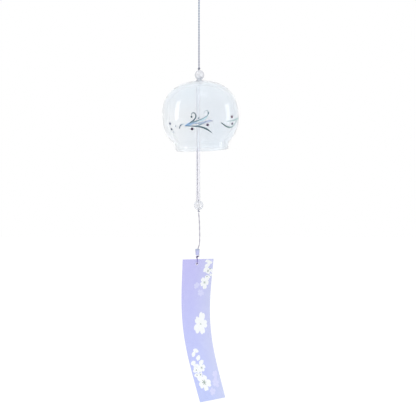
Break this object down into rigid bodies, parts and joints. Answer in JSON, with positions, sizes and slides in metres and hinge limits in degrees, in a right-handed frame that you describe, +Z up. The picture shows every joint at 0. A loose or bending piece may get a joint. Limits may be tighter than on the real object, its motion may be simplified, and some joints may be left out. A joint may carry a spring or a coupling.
{
  "type": "glass wind bell",
  "caption": "Blown glass wind bell on a cord, with a glass tube clapper, glass beads and a hanging paper strip.",
  "frame": {"origin": "inside top of the hanging loop, where a hook or nail carries the bell", "axes": "+Z up, the cord hangs down -Z; +X to the right and +Y to the back, seen from the front"},
  "size_m": [0.0801, 0.08, 0.4467],
  "materials": {
    "cord": "twisted cotton",
    "bell_glass": "clear, hand-painted outside",
    "tube_glass": "clear",
    "bead_glass": "clear",
    "sleeve": "translucent lavender",
    "paper": "lavender washi with white blossoms"
  },
  "bodies": {
    "hook_loop": {"hanging_loop": "cord", "loop_knot": "cord"},
    "cord": {"hanging_cord": "cord", "bead_knot": "cord"},
    "neck": {"neck_cord": "cord", "stop_knot": "cord"},
    "top_bead": {"top_bead": "bead_glass"},
    "bell": {"glass_bell": "bell_glass"},
    "clapper": {"clapper_cord": "cord", "lower_knot": "cord"},
    "clapper_tube": {"clapper_tube": "tube_glass"},
    "lower_bead": {"lower_bead": "bead_glass"},
    "strip_cord": {"strip_cord": "cord"},
    "strip_tie": {"sleeve_bead": "sleeve", "strip_knot": "cord"},
    "strip": {"thread_loop": "cord", "paper_strip": "paper"}
  },
  "joints": [
    {"name": "cord_swing", "type": "hinge", "parent": "hook_loop", "child": "cord", "pos_m": [0, 0, -0.03042], "axis": [0, 1, 0], "range_deg": [-30, 30]},
    {"name": "bell_turn", "type": "hinge", "parent": "cord", "child": "neck", "pos_m": [0, 0, -0.10487], "axis": [0, 0, 1], "continuous": true},
    {"name": "top_bead_turn", "type": "hinge", "parent": "neck", "child": "top_bead", "pos_m": [0.0005, 0, -0.11124], "axis": [0, 0, 1], "continuous": true},
    {"name": "bell_tilt", "type": "hinge", "parent": "neck", "child": "bell", "pos_m": [0, 0, -0.12077], "axis": [0, 1, 0], "range_deg": [-5, 5]},
    {"name": "clapper_swing", "type": "hinge", "parent": "bell", "child": "clapper", "pos_m": [0, 0, -0.12077], "axis": [0, 1, 0], "range_deg": [-21.8, 15.1]},
    {"name": "tube_turn", "type": "hinge", "parent": "clapper", "child": "clapper_tube", "pos_m": [-0.00095, 0, -0.2418], "axis": [0, 0, 1], "continuous": true},
    {"name": "lower_bead_turn", "type": "hinge", "parent": "clapper", "child": "lower_bead", "pos_m": [-0.00035, 0, -0.24672], "axis": [0, 0, 1], "continuous": true},
    {"name": "strip_cord_swing", "type": "hinge", "parent": "clapper", "child": "strip_cord", "pos_m": [-0.00035, 0, -0.25286], "axis": [0, 1, 0], "range_deg": [-35, 35]},
    {"name": "strip_turn", "type": "hinge", "parent": "strip_cord", "child": "strip_tie", "pos_m": [-0.0016, 0, -0.30045], "axis": [0, 0, 1], "continuous": true},
    {"name": "strip_flutter", "type": "hinge", "parent": "strip_tie", "child": "strip", "pos_m": [-0.0021, 0, -0.30045], "axis": [0.9135, 0.4067, 0], "range_deg": [-45, 45]}
  ]
}
